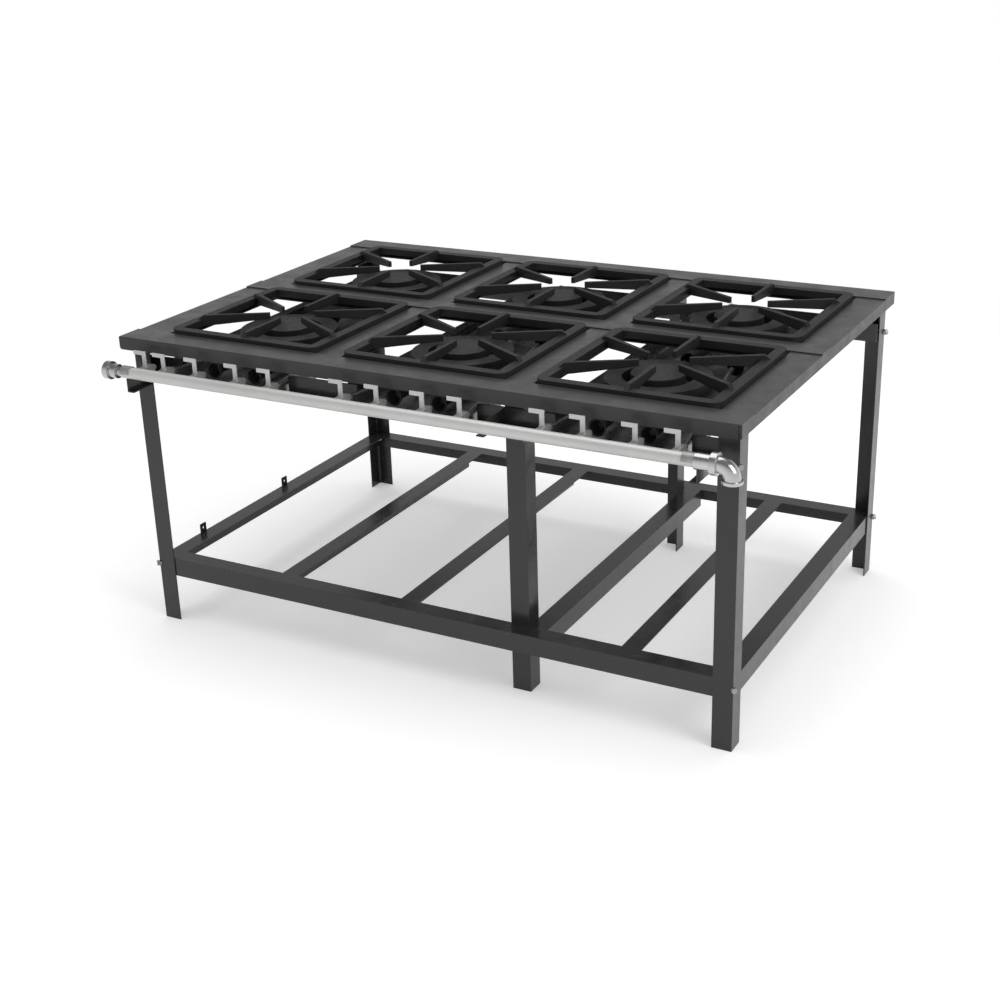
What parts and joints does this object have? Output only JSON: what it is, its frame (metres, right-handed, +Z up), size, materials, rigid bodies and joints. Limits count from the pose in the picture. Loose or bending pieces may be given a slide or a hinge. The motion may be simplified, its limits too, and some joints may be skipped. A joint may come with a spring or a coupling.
{
  "type": "gas range",
  "caption": "Open-stand gas range with a dark folded sheet top, cast trivets over round burners, a front gas manifold with lever taps, drip pans and a lower shelf frame of steel angles.",
  "frame": {"origin": "bottom centre of the whole range's bounding box, on the floor", "axes": "+X to the right along the front, +Y from front to rear, +Z up"},
  "size_m": [1.734, 1.2649, 0.82],
  "materials": {
    "stand_paint": "dark grey paint on rolled steel, slightly uneven",
    "zinc_steel": "dull zinc plated fasteners",
    "top_sheet": "semi-gloss dark grey paint on folded sheet",
    "burner_iron": "black painted cast iron",
    "trivet_iron": "black cast iron with a fine grain",
    "pan_steel": "folded galvanised sheet",
    "tube_metal": "plain drawn tube",
    "pipe_steel": "galvanised pipe",
    "fitting_zinc": "bright galvanised malleable iron",
    "tap_metal": "cast alloy tap bodies",
    "lever_metal": "satin plated bar",
    "clamp_steel": "dull stained saddle over the pipe"
  },
  "bodies": {
    "frame": {"leg_front_left": "stand_paint", "leg_rear_left": "stand_paint", "leg_front_right": "stand_paint", "leg_rear_right": "stand_paint", "leg_front_middle": "stand_paint", "leg_rear_middle": "stand_paint", "shelf_rail_front": "stand_paint", "shelf_rail_rear": "stand_paint", "shelf_rail_left": "stand_paint", "shelf_rail_right": "stand_paint", "shelf_bar_1": "stand_paint", "shelf_bar_2": "stand_paint", "shelf_bar_3": "stand_paint", "shelf_bar_4": "stand_paint", "shelf_tabs": "stand_paint", "leg_bolts": "zinc_steel", "cross_rail_front": "stand_paint", "cross_rail_rear": "stand_paint", "pan_runners": "stand_paint", "top_rail_front": "top_sheet", "top_rail_middle": "top_sheet", "top_rail_rear": "top_sheet", "top_strip_left": "top_sheet", "top_strip_inner_left": "top_sheet", "top_strip_inner_right": "top_sheet", "top_strip_right": "top_sheet", "burner_rings": "burner_iron", "burner_ring_front_middle": "burner_iron", "burner_centres": "burner_iron", "feed_tubes": "tube_metal", "manifold_pipe": "pipe_steel", "pipe_fittings": "fitting_zinc", "taps": "tap_metal", "manifold_bracket_left": "stand_paint", "manifold_bracket_middle": "stand_paint", "manifold_bracket_right": "stand_paint", "manifold_strut": "stand_paint", "pipe_clamps": "clamp_steel"},
    "lever_1": {"lever_1": "lever_metal"},
    "lever_2": {"lever_2": "lever_metal"},
    "lever_3": {"lever_3": "lever_metal"},
    "lever_4": {"lever_4": "lever_metal"},
    "lever_5": {"lever_5": "lever_metal"},
    "lever_6": {"lever_6": "lever_metal"},
    "lever_7": {"lever_7": "lever_metal"},
    "lever_8": {"lever_8": "lever_metal"},
    "lever_9": {"lever_9": "lever_metal"},
    "lever_10": {"lever_10": "lever_metal"},
    "lever_11": {"lever_11": "lever_metal"},
    "lever_12": {"lever_12": "lever_metal"},
    "lever_13": {"lever_13": "lever_metal"},
    "trivet_front_left": {"trivet_front_left": "trivet_iron"},
    "trivet_rear_left": {"trivet_rear_left": "trivet_iron"},
    "trivet_front_middle": {"trivet_front_middle": "trivet_iron"},
    "trivet_rear_middle": {"trivet_rear_middle": "trivet_iron"},
    "trivet_front_right": {"trivet_front_right": "trivet_iron"},
    "trivet_rear_right": {"trivet_rear_right": "trivet_iron"},
    "drip_pan_left": {"drip_pan_left": "pan_steel"},
    "drip_pan_middle": {"drip_pan_middle": "pan_steel"},
    "drip_pan_right": {"drip_pan_right": "pan_steel"}
  },
  "joints": [
    {"name": "lever_1_turn", "type": "hinge", "parent": "frame", "child": "lever_1", "pos_m": [-0.766, -0.5725, 0.742], "axis": [0, 0, 1], "range_deg": [0, 90]},
    {"name": "lever_2_turn", "type": "hinge", "parent": "frame", "child": "lever_2", "pos_m": [-0.705, -0.5725, 0.742], "axis": [0, 0, 1], "range_deg": [0, 90]},
    {"name": "lever_3_turn", "type": "hinge", "parent": "frame", "child": "lever_3", "pos_m": [-0.604, -0.5725, 0.742], "axis": [0, 0, 1], "range_deg": [0, 90]},
    {"name": "lever_4_turn", "type": "hinge", "parent": "frame", "child": "lever_4", "pos_m": [-0.478, -0.5725, 0.742], "axis": [0, 0, 1], "range_deg": [0, 90]},
    {"name": "lever_5_turn", "type": "hinge", "parent": "frame", "child": "lever_5", "pos_m": [-0.3775, -0.5725, 0.742], "axis": [0, 0, 1], "range_deg": [0, 90]},
    {"name": "lever_6_turn", "type": "hinge", "parent": "frame", "child": "lever_6", "pos_m": [-0.165, -0.5725, 0.742], "axis": [0, 0, 1], "range_deg": [0, 90]},
    {"name": "lever_7_turn", "type": "hinge", "parent": "frame", "child": "lever_7", "pos_m": [-0.064, -0.5725, 0.742], "axis": [0, 0, 1], "range_deg": [0, 90]},
    {"name": "lever_8_turn", "type": "hinge", "parent": "frame", "child": "lever_8", "pos_m": [0.062, -0.5725, 0.742], "axis": [0, 0, 1], "range_deg": [0, 90]},
    {"name": "lever_9_turn", "type": "hinge", "parent": "frame", "child": "lever_9", "pos_m": [0.1625, -0.5725, 0.742], "axis": [0, 0, 1], "range_deg": [0, 90]},
    {"name": "lever_10_turn", "type": "hinge", "parent": "frame", "child": "lever_10", "pos_m": [0.375, -0.5725, 0.742], "axis": [0, 0, 1], "range_deg": [0, 90]},
    {"name": "lever_11_turn", "type": "hinge", "parent": "frame", "child": "lever_11", "pos_m": [0.476, -0.5725, 0.742], "axis": [0, 0, 1], "range_deg": [0, 90]},
    {"name": "lever_12_turn", "type": "hinge", "parent": "frame", "child": "lever_12", "pos_m": [0.602, -0.5725, 0.742], "axis": [0, 0, 1], "range_deg": [0, 90]},
    {"name": "lever_13_turn", "type": "hinge", "parent": "frame", "child": "lever_13", "pos_m": [0.7025, -0.5725, 0.742], "axis": [0, 0, 1], "range_deg": [0, 90]},
    {"name": "trivet_front_left_lift", "type": "slide", "parent": "frame", "child": "trivet_front_left", "axis": [0, 0, 1], "range_m": [0, 0.06]},
    {"name": "trivet_rear_left_lift", "type": "slide", "parent": "frame", "child": "trivet_rear_left", "axis": [0, 0, 1], "range_m": [0, 0.06]},
    {"name": "trivet_front_middle_lift", "type": "slide", "parent": "frame", "child": "trivet_front_middle", "axis": [0, 0, 1], "range_m": [0, 0.06]},
    {"name": "trivet_rear_middle_lift", "type": "slide", "parent": "frame", "child": "trivet_rear_middle", "axis": [0, 0, 1], "range_m": [0, 0.06]},
    {"name": "trivet_front_right_lift", "type": "slide", "parent": "frame", "child": "trivet_front_right", "axis": [0, 0, 1], "range_m": [0, 0.06]},
    {"name": "trivet_rear_right_lift", "type": "slide", "parent": "frame", "child": "trivet_rear_right", "axis": [0, 0, 1], "range_m": [0, 0.06]},
    {"name": "drip_pan_left_slide", "type": "slide", "parent": "frame", "child": "drip_pan_left", "axis": [0, 1, 0], "range_m": [0, 0.45]},
    {"name": "drip_pan_middle_slide", "type": "slide", "parent": "frame", "child": "drip_pan_middle", "axis": [0, 1, 0], "range_m": [0, 0.45]},
    {"name": "drip_pan_right_slide", "type": "slide", "parent": "frame", "child": "drip_pan_right", "axis": [0, 1, 0], "range_m": [0, 0.45]}
  ]
}
